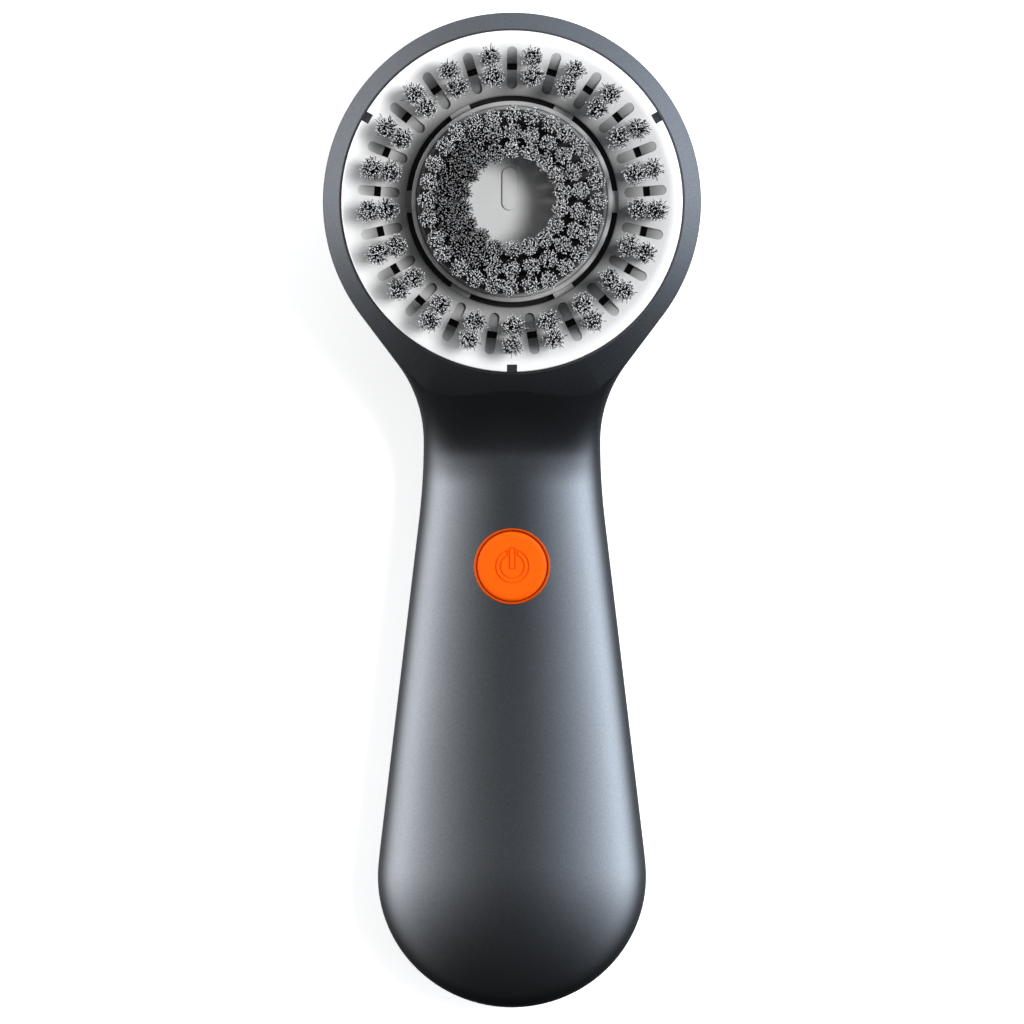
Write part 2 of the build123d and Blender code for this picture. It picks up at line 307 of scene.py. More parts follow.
def graphitePaint():
    finish = Finish("graphitePaint", Metallic=graphite["metallic"])
    flake = finish.noise(graphite["flakeScale"], 1.0)
    grain = finish.noise(graphite["grainScale"], 2.0)
    drift = finish.noise(graphite["driftScale"], 2.0)
    finish.shade(
        Base_Color=finish.blendColours(0.75 * flake + 0.25 * drift, graphite["dark"], graphite["light"]),
        Roughness=graphite["roughness"] - 0.05 + 0.1 * grain,
    )
    finish.bump(grain, graphite["relief"], grainDepth)
    return finish.material


def bristleNylon():
    finish = Finish("bristleNylon", Roughness=0.45, Metallic=0.0)
    # the attribute holds each strand's own grey times painted shade along it and on its shaded side
    shadeOf = finish.add("ShaderNodeAttribute", {"attribute_name": "toneAndShade"})
    toneAndShade = Value(finish.tree, shadeOf.outputs["Fac"])
    fine = finish.noise(900.0, 1.0)
    colour = finish.blendColours(toneAndShade - 0.04 + 0.08 * fine, (0.010, 0.010, 0.011), (0.80, 0.80, 0.81))
    finish.shade(Base_Color=colour)
    return finish.material


def distanceFrom(finish, y):
    # distance in millimetres from an upright axis at x = 0
    across, along, upward = finish.parts()
    along = along - y * mm
    return (across * across + along * along).root() * perMetre


def ramp(value, start, end):
    # 0 below start, 1 above end, straight between
    slope = 1 / (end - start)
    return (slope * value - slope * start).clamp()


def speckle(finish, level, tint, roughness, grain, relief):
    # a grey level with fine grain in its colour, gloss and relief
    fine = finish.noise(grain)
    colour = finish.blendColours(level + 0.02 * fine, (0, 0, 0), tint)
    finish.shade(Base_Color=colour, Roughness=roughness + 0.06 * fine)
    finish.bump(fine, relief, grainDepth)


ringTone = {
    "white": 0.87,
    "innerShadeShare": 0.34,
    "shadeFrom": 14.3,
    "shadeTo": 18.0,
    "slotShadeLow": 0.16,
    "slotShadeFall": 0.55,
    "dishLow": 27.6,
    "dishFrom": 14.3,
    "dishSlope": 0.3939,
    "rimHeight": 30.35,
    "rimFrom": 21.2,
    "rimFall": 20.0,
    "roughness": 0.4,
    "grain": 1500.0,
}


def ringWhite():
    # white, with painted shade darkening it down the dish toward the disc and in the drain slots
    t = ringTone
    finish = Finish("ringWhite")
    radius = distanceFrom(finish, headY)
    height = finish.parts()[2] * perMetre
    flat = t["rimHeight"] - t["rimFall"] * (radius - t["rimFrom"]).mix("MAXIMUM", 0.0)
    dish = (t["dishLow"] + t["dishSlope"] * (radius - t["dishFrom"])).mix("MINIMUM", flat)
    depth = (dish - height).mix("MAXIMUM", 0.0)
    # painted shade: the dish darkens toward the disc, where the tufts shade it
    paintedDishShade = t["innerShadeShare"] + (1 - t["innerShadeShare"]) * ramp(radius, t["shadeFrom"], t["shadeTo"])
    # painted shade: the drain slots and the rim's bevel edge darken with their depth below the dish
    slots = (1.0 - t["slotShadeFall"] * depth).mix("MAXIMUM", t["slotShadeLow"])
    level = t["white"] * paintedDishShade * slots
    speckle(finish, level, (1, 1, 0.995), t["roughness"], t["grain"], 0.08)
    return finish.material


discTone = {
    "floor": 0.80,
    "paintedShadeBetweenRows": 0.05,
    "rim": 0.50,
    "paintedShadowShare": 0.5,
    "shadyRun": (0.5, 5.5),
    "tuftedRun": (6.2, 7.2),
    "rimRun": (12.2, 12.5),
    "roughness": 0.42,
    "grain": 1300.0,
}


def discGrey():
    # pale floor with a painted shadow toward +X, painted shade between the tuft rows, grey rim
    t = discTone
    finish = Finish("discGrey")
    radius = distanceFrom(finish, headY)
    side = finish.parts()[0] * perMetre
    # painted shadow: the floor darkens toward +X, as if shaded by the tufts on that side
    floor = t["floor"] * (1.0 - t["paintedShadowShare"] * ramp(side, *t["shadyRun"]))
    # painted shade: dark between the tuft rows
    level = floor + (t["paintedShadeBetweenRows"] - floor) * ramp(radius, *t["tuftedRun"])
    level = level + (t["rim"] - t["paintedShadeBetweenRows"]) * ramp(radius, *t["rimRun"])
    speckle(finish, level, (1, 1, 1), t["roughness"], t["grain"], 0.1)
    return finish.material


orangeTone = {
    "dark": (0.80, 0.092, 0.0004),
    "light": (0.86, 0.104, 0.0006),
    "edgeHighlightGain": 0.16,
    "edgeHighlightRun": (4.1, 4.4),
    "bezelShadeShare": 0.62,
    "bezelShadeRun": (4.56, 4.68),
    "roughness": 0.5,
}


def buttonOrange():
    # bright cap with a painted highlight on its edge and painted shade on the bezel round it
    t = orangeTone
    finish = Finish("buttonOrange", Specular_IOR_Level=0.12)
    radius = distanceFrom(finish, buttonY)
    # painted highlight: the cap's rounded edge is lighter
    gain = 1.0 + t["edgeHighlightGain"] * ramp(radius, *t["edgeHighlightRun"])
    # painted shade: the bezel round the cap is darker
    lightAndShadeShare = gain - (1 + t["edgeHighlightGain"] - t["bezelShadeShare"]) * ramp(radius, *t["bezelShadeRun"])
    fine = finish.noise(1500.0)
    colour = finish.blendColours(fine, t["dark"], t["light"])
    finish.shade(Base_Color=finish.blendColours(1.0 - lightAndShadeShare, colour, (0, 0, 0)),
                 Roughness=t["roughness"] + 0.06 * fine)
    finish.bump(fine, 0.1, grainDepth)
    return finish.material


finishes = {
    "graphite_shell": graphitePaint(),
    "white_ring": ringWhite(),
    "bristles": bristleNylon(),
    "disc_grey": discGrey(),
    "button_orange": buttonOrange(),
    "seal_black": grainedFinish("sealBlack", (0.012, 0.012, 0.013), (0.025, 0.025, 0.026), 0.6),
    "frame_plastic": grainedFinish("framePlastic", (0.03, 0.03, 0.032), (0.06, 0.06, 0.064), 0.5),
    "clip_plastic": grainedFinish("clipPlastic", (0.015, 0.015, 0.016), (0.03, 0.03, 0.032), 0.45),
    "board_green": grainedFinish("boardGreen", (0.01, 0.09, 0.04), (0.02, 0.13, 0.06), 0.35),
    "chip_black": grainedFinish("chipBlack", (0.012, 0.012, 0.012), (0.03, 0.03, 0.03), 0.5),
    "cell_wrap": grainedFinish("cellWrap", (0.02, 0.09, 0.2), (0.03, 0.12, 0.26), 0.3),
    "nickel": grainedFinish("nickel", (0.5, 0.48, 0.44), (0.62, 0.6, 0.56), 0.3, metallic=1.0),
    "steel": grainedFinish("steel", (0.38, 0.38, 0.39), (0.5, 0.5, 0.51), 0.34, metallic=1.0),
    "copper": grainedFinish("copper", (0.55, 0.2, 0.09), (0.75, 0.33, 0.15), 0.35, metallic=1.0),
    "bronze": grainedFinish("bronze", (0.42, 0.26, 0.1), (0.55, 0.36, 0.15), 0.45, metallic=1.0),
    "ferrite": grainedFinish("ferrite", (0.03, 0.03, 0.032), (0.05, 0.05, 0.054), 0.55),
}
slotOf = {part["node"]: part["material_slot"] for part in frame["record"]["subparts"]}
for nodeName, node in frame["nodes"].items():
    for holder in node.material_slots:
        holder.material = finishes[slotOf[nodeName]]
print("finishes made")


def hand(piece, body, slotName, *nodes):
    # the finished piece takes its finish, rides its body and stands for its nodes
    piece.data.materials.clear()
    piece.data.materials.append(finishes[slotName])
    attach(piece, body)
    if nodes:
        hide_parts(*nodes)
    piece.select_set(False)


outline = {
    "length": 133.0, "headRadius": 25.2, "baseHalfWidth": 18.0, "baseHalfDepth": 12.6, "domeLength": 17.55,
    "neckHalfWidth": 11.85, "neckStation": 31.8, "shoulderRadius": 16.9, "shoulderAngle": math.radians(37.6),
    "taperRadius": 90.0, "taperRun": 10.6, "parting": 11.5, "neckDepth": 10.0, "relief": 1.3,
    "headWide": 24.0, "headTop": 33.0, "rim": 30.0, "rimSlope": 0.57, "wellRadius": 22.75, "wellFloor": 23.0,
    "wellWall": 1.6, "lipReach": 30.0, "lipTop": 45.0, "seatRadius": 7.5, "seatDepth": 1.0,
    "buttonHole": 5.1, "bushHole": 4.5, "joinGap": 0.03,
    "lipChamfer": 0.28, "wall": 2.0, "backWall": 2.2, "around": 72,
    "backStep": 0.1, "neckStart": 34, "neckPower": 1.93, "cornerLow": 2.0, "cornerGain": 4.0,
    "backCorner": 2.5,
    "wideRun": (36, 10), "climbRun": (34, 19), "cornerRun": (38, 18),
    "reliefIn": (20, 33), "reliefOut": (42, 72),
    "domeDegrees": (88, -8, -3), "fineStep": 0.6, "coarseStep": 1.5, "coarseFrom": 40,
    "below": -5, "above": 60, "buttonCut": (17, 30), "bushCut": (15, 24),
    "keyAngles": (30, 150, 270), "keyInner": 21.77, "keyOuter": 23.25, "keyWidth": 1.11,
    "keyLow": 22.5, "keyTop": 29.4,
}
domeStation = outline["length"] - outline["headRadius"] - outline["domeLength"]
handleEnd = domeStation - 2.25


def ease(value, start, end):
    u = min(max((value - start) / (end - start), 0.0), 1.0)
    return u * u * (3 - 2 * u)


def halfWidth(station):
    # half of the body's width at a distance below the head's axis
    o = outline
    tangentStation = o["headRadius"] * math.sin(o["shoulderAngle"])
    arcStation = o["neckStation"] - o["shoulderRadius"] * math.sin(o["shoulderAngle"])
    if station <= tangentStation:
        return math.sqrt(o["headRadius"] ** 2 - station ** 2)
    if station <= arcStation:
        part = (station - tangentStation) / (arcStation - tangentStation)
        top = o["headRadius"] * math.cos(o["shoulderAngle"])
        low = o["neckHalfWidth"] + o["shoulderRadius"] * (1 - math.cos(o["shoulderAngle"]))
        return top + (low - top) * part
    drop = abs(station - o["neckStation"])
    if station <= o["neckStation"]:
        return o["neckHalfWidth"] + o["shoulderRadius"] - math.sqrt(o["shoulderRadius"] ** 2 - drop ** 2)
    run = min(drop, o["taperRun"])
    width = o["neckHalfWidth"] + o["taperRadius"] - math.sqrt(o["taperRadius"] ** 2 - run ** 2)
    slope = o["taperRun"] / math.sqrt(o["taperRadius"] ** 2 - o["taperRun"] ** 2)
    return width + slope * max(drop - o["taperRun"], 0)


def crossOutline(station, inset, domeAngle=None):
    # a ring of points across the body, from the middle of the back round to it again
    o = outline
    if domeAngle is not None:
        station = domeStation + (o["domeLength"] - inset) * math.sin(domeAngle)
        wide = o["parting"]
        width = (o["baseHalfWidth"] - inset) * math.cos(domeAngle)
        front = back = (o["baseHalfDepth"] - inset) * math.cos(domeAngle)
    else:
        wide = o["parting"] + (o["headWide"] - o["parting"]) * ease(station, *o["wideRun"])
        width = halfWidth(station) - inset
        neckPart = max(station - o["neckStart"], 0) / (handleEnd - o["neckStart"])
        gain = (o["baseHalfDepth"] - o["backStep"] - o["neckDepth"]) * neckPart ** o["neckPower"]
        lowTop = o["parting"] + o["neckDepth"] + gain
        front = lowTop + (o["headTop"] - lowTop) * ease(station, *o["climbRun"]) - wide - inset
        relief = o["relief"] * ease(station, *o["reliefIn"]) * (1 - ease(station, *o["reliefOut"]))
        back = wide - (o["parting"] - o["baseHalfDepth"] + o["backStep"] + relief) - inset
    corner = o["cornerLow"] + o["cornerGain"] * ease(station, *o["cornerRun"])
    points = []
    for step in range(2 * o["around"]):
        angle = math.pi * step / o["around"] - math.pi / 2
        c, s = math.cos(angle), math.sin(angle)
        power, height = (corner, front) if s > 0 else (o["backCorner"], back)
        reach = (abs(c) ** power + abs(s) ** power) ** (-1 / power)
        points.append(Vector((width * reach * c, headY - station, wide + height * reach * s)) * mm)
    return points


def bodyForm(name, inset):
    # one ring drawn up the body loop by loop, then half of the last ring spun round the head
    o = outline
    rings = []
    for degrees in range(*o["domeDegrees"]):
        rings.append(crossOutline(0, inset, math.radians(degrees)))
    station = handleEnd - o["coarseStep"]
    while station > 0:
        rings.append(crossOutline(station, inset))
        station -= o["fineStep"] if station < o["coarseFrom"] else o["coarseStep"]
    rings.append(crossOutline(0, inset))
    freshStart()
    count = len(rings[0])
    bpy.ops.mesh.primitive_circle_add(vertices=count, radius=0.001, fill_type="NGON")
    bpy.ops.object.mode_set(mode="EDIT")
    bpy.ops.mesh.select_all(action="SELECT")
    edit = bmesh.from_edit_mesh(bpy.context.object.data)
    edit.verts.ensure_lookup_table()
    for vertex, place in zip(edit.verts, rings[0]):
        vertex.co = place
    for ring in rings[1:]:
        bpy.ops.mesh.extrude_region_move()
        edit = bmesh.from_edit_mesh(bpy.context.object.data)
        moved = sorted((v for v in edit.verts if v.select), key=lambda v: v.index)
        for vertex, place in zip(moved, ring):
            vertex.co = place
    edit.faces.ensure_lookup_table()
    cap = [f for f in edit.faces if f.select and len(f.verts) > 4]
    bmesh.ops.delete(edit, geom=cap, context="FACES_ONLY")
    bpy.ops.mesh.select_all(action="DESELECT")
    for edge in edit.edges:
        ends = [v.co for v in edge.verts]
        onRing = all(abs(c.y - headY * mm) < 1e-7 for c in ends)
        if onRing and all(c.x > -1e-6 for c in ends):
            edge.select_set(True)
    bmesh.update_edit_mesh(bpy.context.object.data)
    bpy.ops.mesh.spin(steps=72, angle=-math.pi, center=(0, headY * mm, 0), axis=(0, 0, 1))
    bpy.ops.mesh.select_all(action="SELECT")
    bpy.ops.mesh.remove_doubles(threshold=0.00002)
    bpy.ops.mesh.select_all(action="SELECT")
    bpy.ops.mesh.fill_holes(sides=0)
    bpy.ops.mesh.normals_make_consistent(inside=False)
    return settle(name)


def makeShells():
    o = outline
    whole = bodyForm("wholeBody", 0)
    lip = o["wellRadius"] + o["lipChamfer"]
    combine(whole, turnProfile("rimTool", [
        (0, o["wellFloor"]), (o["wellRadius"], o["wellFloor"]), (o["wellRadius"], o["rim"] - o["lipChamfer"]),
        (lip, o["rim"]), (o["lipReach"], o["rim"] - o["rimSlope"] * (o["lipReach"] - lip)),
        (o["lipReach"], o["lipTop"]), (0, o["lipTop"])]))
    combine(whole, slab("flatTool", o["below"], 0))
    combine(whole, drum("seatTool", o["seatRadius"], -1, o["seatDepth"], y=seatY))
    combine(whole, drum("buttonTool", o["buttonHole"], *o["buttonCut"], y=buttonY, vertices=128))
    combine(whole, drum("bushTool", o["bushHole"], *o["bushCut"]))
    cavity = bodyForm("cavity", o["wall"])
    ceiling = o["wellFloor"] - o["wellWall"]
    combine(cavity, drum("ceilingTool", o["wellRadius"] + o["wellWall"], ceiling, o["lipTop"], vertices=180))
    combine(cavity, slab("floorTool", o["below"], o["backWall"]))
    combine(whole, cavity)
    rear = duplicate(whole, "rearShell")
    combine(rear, slab("upperTool", o["parting"] - o["joinGap"], o["above"]))
    combine(whole, slab("lowerTool", o["below"], o["parting"] + o["joinGap"]))
    whole.name = "frontShell"
    for angle in o["keyAngles"]:
        key = brick("key", (o["keyInner"], -o["keyWidth"] / 2, o["keyLow"]),
                    (o["keyOuter"], o["keyWidth"] / 2, o["keyTop"]))
        turnAboutHead(key, angle)
        combine(whole, key, "UNION")
    for piece, node in ((whole, "front_shell"), (rear, "rear_shell")):
        smoothOver(piece, 32)
        hand(piece, "housing", "graphite_shell", node)


makeShells()
print("housing made")


ring = {
    "outer": 22.7, "inner": 14.12, "dishOuter": 20.9, "top": 30.4, "innerTop": 27.6, "low": 24.1,
    "slots": 21, "slotInner": 15.0, "slotOuter": 20.6, "slotWidth": 1.35,
    "drainInner": 17.5, "drainOuter": 18.4, "rampDepth": 1.2, "innerDepth": 0.9, "lipDrop": 0.3,
    "notchAngles": (30, 150, 270), "notchWidth": 1.35, "notchDepth": 0.97,
    "edgeDrop": 0.2, "toolLow": 20, "toolHigh": 40, "drainLow": 25, "notchReach": 2,
    "flangeInner": 21.2, "flangeTop": 27.6, "skirtOuter": 17.4, "skirtTop": 26.2,
    "skirtInner": 15.2, "ledge": 26.6,
}


def dishHeight(radius):
    slope = (ring["top"] - ring["edgeDrop"] - ring["innerTop"]) / (ring["dishOuter"] - ring["inner"])
    return ring["innerTop"] + slope * (radius - ring["inner"])


def makeSlotTool():
    # a rounded bar whose underside is two ramps with a drain between them
    r = ring
    middle = (r["slotInner"] + r["slotOuter"]) / 2
    half = (r["slotOuter"] - r["slotInner"]) / 2
    high = dishHeight(r["slotOuter"]) + 1
    section = [
        (r["slotOuter"], high),
        (r["slotOuter"], dishHeight(r["slotOuter"]) - 0.1),
        (r["drainOuter"], dishHeight(r["drainOuter"]) - r["rampDepth"]),
        (r["drainOuter"], r["drainLow"]),
        (r["drainInner"], r["drainLow"]),
        (r["drainInner"], dishHeight(r["drainInner"]) - r["lipDrop"]),
        (r["slotInner"], dishHeight(r["slotInner"]) - r["innerDepth"]),
        (r["slotInner"], high),
    ]
    tool = pushProfile("slotTool", section, r["slotWidth"])
    ends = brick("slotEnds", (middle - half, -r["slotWidth"] / 2, r["toolLow"]),
                 (middle + half, r["slotWidth"] / 2, r["toolHigh"]))
    focus(ends)
    bpy.ops.object.mode_set(mode="EDIT")
    bpy.ops.mesh.select_all(action="DESELECT")
    edit = bmesh.from_edit_mesh(ends.data)
    for edge in edit.edges:
        if abs(edge.verts[0].co.z - edge.verts[1].co.z) > 0.001:
            edge.select_set(True)
    bmesh.update_edit_mesh(ends.data)
    bpy.ops.mesh.bevel(offset=(r["slotWidth"] / 2 - 0.01) * mm, segments=8, affect="EDGES")
    bpy.ops.object.mode_set(mode="OBJECT")
    combine(tool, ends, "INTERSECT")
    return tool


def makeRing():
    r = ring
    piece = turnProfile("brushRing", [
        (r["inner"], r["ledge"]), (r["inner"], r["innerTop"] - 0.15),
        (r["inner"] + 0.15, r["innerTop"] + 0.06),
        (r["dishOuter"], r["top"] - r["edgeDrop"]), (r["dishOuter"] + 0.5, r["top"]),
        (r["outer"] - 0.3, r["top"]),
        (r["outer"] - 0.09, r["top"] - 0.09), (r["outer"], r["top"] - 0.3), (r["outer"], r["low"]),
        (r["flangeInner"], r["low"]), (r["flangeInner"], r["flangeTop"]), (r["skirtOuter"], r["skirtTop"]),
        (r["skirtOuter"], r["low"]), (r["skirtInner"], r["low"]), (r["skirtInner"], r["ledge"])])
    first = makeSlotTool()
    tools = []
    for number in range(r["slots"]):
        tool = duplicate(first, "slotTool%02d" % number)
        turnAboutHead(tool, 90 + number * 360 / r["slots"])
        tools.append(tool)
    for angle in r["notchAngles"]:
        notch = brick("notchTool", (r["outer"] - r["notchDepth"], -r["notchWidth"] / 2, r["toolLow"]),
                      (r["outer"] + r["notchReach"], r["notchWidth"] / 2, r["toolHigh"]))
        turnAboutHead(notch, angle)
        tools.append(notch)
    bpy.data.objects.remove(first, do_unlink=True)
    combine(piece, joinAll(tools, "ringTools"))
    smoothOver(piece, 28)
    hand(piece, "brush_head", "white_ring", "brush_ring")


makeRing()
print("ring made")


discShape = {
    "radius": 13.4, "low": 24.4, "top": 28.0, "rim": 28.5, "hollow": 8.2, "hollowTop": 27.2,
    "tabs": 6, "tabOverlap": 0.4, "tabReach": 14.9, "tabWidth": 2.9, "tabLow": 25.2, "tabTop": 26.2,
    "markLength": 5.8, "markWidth": 2.1, "markHeight": 0.45, "markShift": (-0.3, 1.7), "markEdge": 0.18,
}


def makeDisc():
    d = discShape
    piece = turnProfile("centreDisc", [
        (0, d["hollowTop"]), (0, d["top"]), (d["radius"] - 0.9, d["top"]),
        (d["radius"] - 0.72, d["top"] + 0.12),
        (d["radius"] - 0.6, d["rim"] - 0.06), (d["radius"] - 0.5, d["rim"]), (d["radius"] - 0.2, d["rim"]),
        (d["radius"] - 0.05, d["rim"] - 0.08), (d["radius"], d["rim"] - 0.25), (d["radius"], d["low"]),
        (d["hollow"], d["low"]), (d["hollow"], d["hollowTop"])])
    for number in range(d["tabs"]):
        tab = brick("tab", (d["radius"] - d["tabOverlap"], -d["tabWidth"] / 2, d["tabLow"]),
                    (d["tabReach"], d["tabWidth"] / 2, d["tabTop"]))
        turnAboutHead(tab, number * 360 / d["tabs"])
        combine(piece, tab, "UNION")
    half = (d["markLength"] - d["markWidth"]) / 2
    x, y = d["markShift"]
    mark = drum("mark", d["markWidth"] / 2, d["top"] - 0.3, d["top"] + d["markHeight"], 0, 0, 32)
    for vertex in mark.data.vertices:
        vertex.co.y += half * mm * (1 if vertex.co.y > 0 else -1)
        vertex.co.x += x * mm
        vertex.co.y += (headY + y) * mm
    soften(mark, d["markEdge"])
    combine(piece, mark, "UNION")
    smoothOver(piece, 30)
    hand(piece, "brush_disc", "disc_grey", "centre_disc")


makeDisc()
print("disc made")


bristle = {
    "thickness": 0.062, "rootRadius": 0.86, "uneven": 0.25, "sink": 0.8, "seed": 7,
    "outerSplay": 0.6, "outerCurl": 0.2, "outerCount": 160, "outerTop": 37.9,
    "centreSplay": 0.3, "centreCurl": 0.12, "centreCount": 150, "centreTop": 38.9,
    "tones": (0.1, 0.4, 0.6, 0.8, 0.9, 1.0, 1.0), "rootShadeLevel": 0.12, "tipTone": 0.88, "rootShadePower": 14,
    "paintedShadeSide": 0.55, "shadySplay": 0.42, "shadyWithin": 11, "shadyRun": (-0.1, 0.9),
    "lean": 0.1, "turnJitter": 0.3, "edgeDrop": 0.4,
    "lengths": ((0.55, 1), (0.3, 1), (0.13, 1.1), (0.02, 1.35)),
}
goldenTurn = 2.39996
rows = (
    ("outerTufts", "brush_head", "outer_tufts", "outer", ((19.2, 21, 0.5), (16.7, 21, 0.5))),
    ("outerRowTufts", "brush_disc", "outer_row_tufts", "centre", ((11.4, 28, 0),)),
    ("middleRowTufts", "brush_disc", "middle_row_tufts", "centre", ((9.1, 22, 0),)),
    ("innerRowTufts", "brush_disc", "inner_row_tufts", "centre", ((6.7, 18, 0),)),
)


def oneFilament():
    # a three-sided strand of unit height, drawn up in four lengths, with a flared tip
    freshStart()
    bpy.ops.mesh.primitive_circle_add(vertices=3, radius=bristle["thickness"], fill_type="NGON")
    bpy.ops.object.mode_set(mode="EDIT")
    bpy.ops.mesh.select_all(action="SELECT")
    for length, scale in bristle["lengths"]:
        bpy.ops.mesh.extrude_region_move(TRANSFORM_OT_translate={"value": (0, 0, length)})
        bpy.ops.transform.resize(value=(scale, scale, 1))
    bpy.ops.mesh.select_all(action="SELECT")
    bpy.ops.mesh.fill_holes(sides=3)
    bpy.ops.mesh.normals_make_consistent(inside=False)
    return settle("filament")


def makeTufts(model, name, body, node, kind, circles, chance):
    base = np.array([v.co[:] for v in model.data.vertices])
    faces = [list(p.vertices) for p in model.data.polygons]
    allPoints, allFaces, tones = [], [], []
    b = bristle
    top, perTuft, splay, curl = b[kind + "Top"], b[kind + "Count"], b[kind + "Splay"], b[kind + "Curl"]
    for radius, count, shift in circles:
        low = (dishHeight(radius) if body == "brush_head" else discShape["top"]) - b["sink"]
        for number in range(count):
            angle = math.radians(90 + (number + shift) * 360 / count)
            centre = np.array([radius * math.cos(angle), headY + radius * math.sin(angle)])
            lean = np.array([chance.gauss(0, b["lean"]), chance.gauss(0, b["lean"])])
            # painted shade: the two inner rows' strands are darker toward -X, the side in shade
            shady = kind == "centre" and radius < b["shadyWithin"]
            turned = ease(-math.cos(angle), *b["shadyRun"]) if shady else 0.0
            sideShade = 1 - b["paintedShadeSide"] * turned
            spreading = splay + b["shadySplay"] * turned
            for strand in range(perTuft):
                spread = math.sqrt((strand + 0.5) / perTuft)
                turn = strand * goldenTurn + chance.uniform(-b["turnJitter"], b["turnJitter"])
                way = np.array([math.cos(turn), math.sin(turn)])
                root = centre + way * spread * b["rootRadius"]
                bend = way * spread * spreading + lean
                wild = np.array([chance.gauss(0, 1), chance.gauss(0, 1)]) * curl
                height = top - low + chance.gauss(0, b["uneven"]) - b["edgeDrop"] * spread ** 3
                t = base[:, 2:3]
                places = root + base[:, :2] + bend * t ** 2 + wild * t ** 3
                heights = low + base[:, 2] * height
                start = len(allPoints) * len(base)
                allPoints.append(np.column_stack([places, heights]))
                allFaces.extend([[i + start for i in f] for f in faces])
                # painted shade: each strand is dark down in the tuft and bright only near its tip
                along = b["rootShadeLevel"] + b["tipTone"] * base[:, 2] ** b["rootShadePower"]
                tones.append(sideShade * chance.choice(b["tones"]) * along)
    mesh = bpy.data.meshes.new(name)
    mesh.from_pydata((np.vstack(allPoints) * mm).tolist(), [], allFaces)
    attribute = mesh.attributes.new("toneAndShade", "FLOAT", "POINT")
    attribute.data.foreach_set("value", np.concatenate(tones).astype(np.float32))
    piece = bpy.data.objects.new(name, mesh)
    bpy.context.collection.objects.link(piece)
    hand(piece, body, "bristles", node)


def makeBristles():
    chance = random.Random(bristle["seed"])
    model = oneFilament()
    for name, body, node, kind, circles in rows:
        makeTufts(model, name, body, node, kind, circles, chance)
    bpy.data.objects.remove(model, do_unlink=True)


makeBristles()
print("bristles made")


button = {
    "y": buttonY, "bezel": 5.1, "bezelInner": 4.75, "bezelLow": 19.0, "bezelTop": 21.6,
    "cap": 4.69, "capLow": 20.5, "capTop": 21.75, "stem": 1.4, "stemLow": 19.35,
    "arcOuter": 2.17, "arcInner": 1.62, "gap": 0.72, "barHalf": 0.32, "barLow": -0.3, "barHigh": 2.4,
    "relief": 0.2, "line": 0.13, "overlap": 0.05, "proud": 0.005, "gapCut": (15, 30), "gapReach": 5,
}


def makeButton():
    b = button
    bezel = turnProfile("buttonBezel", [
        (b["bezelInner"], b["bezelLow"]), (b["bezel"], b["bezelLow"]), (b["bezel"], b["bezelTop"] - 0.15),
        (b["bezel"] - 0.04, b["bezelTop"] - 0.04), (b["bezel"] - 0.1, b["bezelTop"]),
        (b["bezelInner"] + 0.18, b["bezelTop"]), (b["bezelInner"] + 0.08, b["bezelTop"] - 0.08),
        (b["bezelInner"], b["bezelTop"] - 0.35)], b["y"], 144)
    smoothOver(bezel)
    bezel.visible_glossy = False
    hand(bezel, "housing", "button_orange", "button_bezel")
    cap = turnProfile("powerButton", [
        (0, b["capLow"]), (b["cap"], b["capLow"]), (b["cap"], b["capTop"] - 0.5),
        (b["cap"] - 0.06, b["capTop"] - 0.34), (b["cap"] - 0.18, b["capTop"] - 0.18),
        (b["cap"] - 0.36, b["capTop"] - 0.07), (b["cap"] - 0.6, b["capTop"] - 0.015),
        (b["cap"] - 0.95, b["capTop"]), (0, b["capTop"])], b["y"], 144)
    # the symbol stands level with the cap inside a fine groove
    passes = (
        (b["line"], b["capTop"] + 1, "DIFFERENCE"),
        (-b["line"] / 2, b["capTop"] + b["proud"], "UNION"),
    )
    for margin, high, operation in passes:
        low = b["capTop"] - b["relief"] - (b["overlap"] if operation == "UNION" else 0)
        inner = b["arcInner"] - margin
        outer = b["arcOuter"] + margin
        arc = turnProfile("symbolArc", [(inner, low), (outer, low), (outer, high), (inner, high)], b["y"], 96)
        gap = b["gap"] - margin
        opening = brick("gapTool", (-gap, b["y"], b["gapCut"][0]),
                        (gap, b["y"] + b["gapReach"], b["gapCut"][1]))
        combine(arc, opening)
        combine(cap, arc, operation)
        bar = brick("symbolBar", (-b["barHalf"] - margin, b["y"] + b["barLow"] - margin, low),
                    (b["barHalf"] + margin, b["y"] + b["barHigh"] + margin, high))
        combine(cap, bar, operation)
    stem = drum("stem", b["stem"], b["stemLow"], b["capLow"] + 0.1, 0, b["y"], 48)
    combine(cap, stem, "UNION")
    smoothOver(cap)
    cap.visible_glossy = False
    hand(cap, "power_button", "button_orange", "power_button")


makeButton()
print("button made")


studio = {
    "lens": 600.0,
    "sensor": 36.0,
    "clipEnd": 20.0,
    "aimY": -0.05,
    "floorDrop": 0.05,
    "tintSlope": 1.5,
    "frameWidth": 137.2,
    "aimHeight": 14.0,
    "floorSize": 8.0,
    "overhead": 0.14,
    "sides": 4.8,
    "sideNarrowing": 1.75,
    "beyondHead": 1.85,
    "tailLevel": 0.06,
    "tailRise": 0.06,
    "fadeStart": -0.66,
    "fadeEnd": -0.26,
    "fadeLean": 0.06,
    "leftTint": (1.0, 1.0, 1.0),
    "rightTint": (1.18, 1.25, 1.33),
    "keyPlace": (0.45, 0.12, 1.12),
    "keySize": 0.3,
    "keyPower": 9.6,
    "floorGlow": 0.5,
}


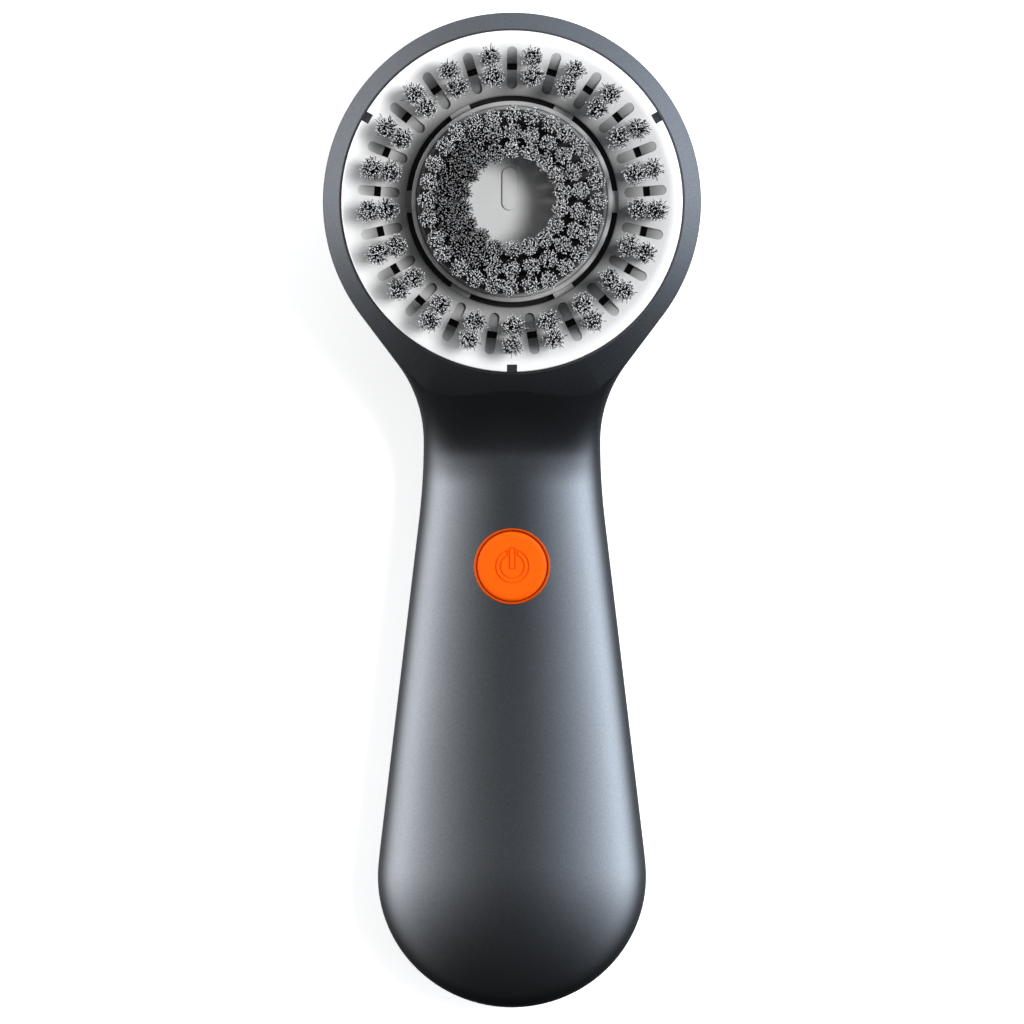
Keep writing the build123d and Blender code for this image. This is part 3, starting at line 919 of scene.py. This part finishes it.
def makeCamera():
    data = bpy.data.cameras.new("camera")
    data.lens = studio["lens"]
    data.sensor_width = studio["sensor"]
    data.clip_end = studio["clipEnd"]
    camera = bpy.data.objects.new("camera", data)
    bpy.context.collection.objects.link(camera)
    distance = studio["frameWidth"] * mm * studio["lens"] / data.sensor_width
    camera.location = (0, studio["aimY"] * mm, studio["aimHeight"] * mm + distance)
    camera.rotation_euler = (0, 0, 0)
    bpy.context.scene.camera = camera


def overheadLamp(name, place, size, power):
    # lights dull surfaces only, so it leaves no patch on the glossy body
    data = bpy.data.lights.new(name, "AREA")
    data.size = size
    data.energy = power
    lamp = bpy.data.objects.new(name, data)
    bpy.context.collection.objects.link(lamp)
    lamp.location = place
    lamp.rotation_euler = (Vector((0, headY * mm, 0)) - Vector(place)).to_track_quat("-Z", "Y").to_euler()
    lamp.visible_camera = False
    lamp.visible_glossy = False


def makeSky():
    # bright walls of light to both sides, a weaker one beyond the head, dim overhead and at the tail
    world = bpy.data.worlds.new("studioWorld")
    bpy.context.scene.world = world
    world.use_nodes = True
    tree = world.node_tree
    place = tree.nodes.new("ShaderNodeTexCoord")
    parts = tree.nodes.new("ShaderNodeSeparateXYZ")
    tree.links.new(place.outputs["Generated"], parts.inputs[0])
    across, along, upward = [Value(tree, socket) for socket in parts.outputs]
    ahead = along.mix("MAXIMUM", 0.0)
    behind = along.mix("MINIMUM", 0.0)
    rise = 1.0 + studio["sideNarrowing"] * upward.mix("MAXIMUM", 0.0)
    calm = (1.0 + behind) * (1.0 + behind)
    sideWall = studio["sides"] * across * across * calm
    wall = (sideWall + studio["beyondHead"] * ahead * ahead).mix("DIVIDE", rise)
    slope = 1 / (studio["fadeEnd"] - studio["fadeStart"])
    leaned = upward - studio["fadeLean"] * across
    fade = (slope * leaned - slope * studio["fadeStart"]).clamp()
    soft = studio["tailLevel"] + studio["tailRise"] * upward.mix("MAXIMUM", 0.0)
    level = studio["overhead"] * calm * calm + (soft + wall) * fade
    tint = tree.nodes.new("ShaderNodeMix")
    tint.data_type = "RGBA"
    tree.links.new((studio["tintSlope"] * across + 0.5).clamp().socket, tint.inputs[0])
    tint.inputs[6].default_value = (*studio["leftTint"], 1)
    tint.inputs[7].default_value = (*studio["rightTint"], 1)
    background = tree.nodes["Background"]
    tree.links.new(tint.outputs[2], background.inputs[0])
    tree.links.new(level.socket, background.inputs[1])


def makeStudio():
    makeCamera()
    overheadLamp("keyLamp", studio["keyPlace"], studio["keySize"], studio["keyPower"])
    makeSky()
    freshStart()
    bpy.ops.mesh.primitive_plane_add(size=studio["floorSize"], location=(0, 0, -studio["floorDrop"] * mm))
    floor = settle("floor")
    paper = Finish("floorPaper", Roughness=0.9, Emission_Color=(1, 1, 1, 1),
                   Emission_Strength=studio["floorGlow"])
    paper.shade(Base_Color=paper.blendColours(paper.noise(30.0), (0.93, 0.93, 0.93), (0.95, 0.95, 0.95)))
    floor.data.materials.append(paper.material)
    # the glossy body mirrors the walls of light, not the floor under it
    floor.visible_glossy = False
    floor.visible_shadow = False
    bpy.context.scene.view_settings.view_transform = "Standard"


makeStudio()
print("studio made")
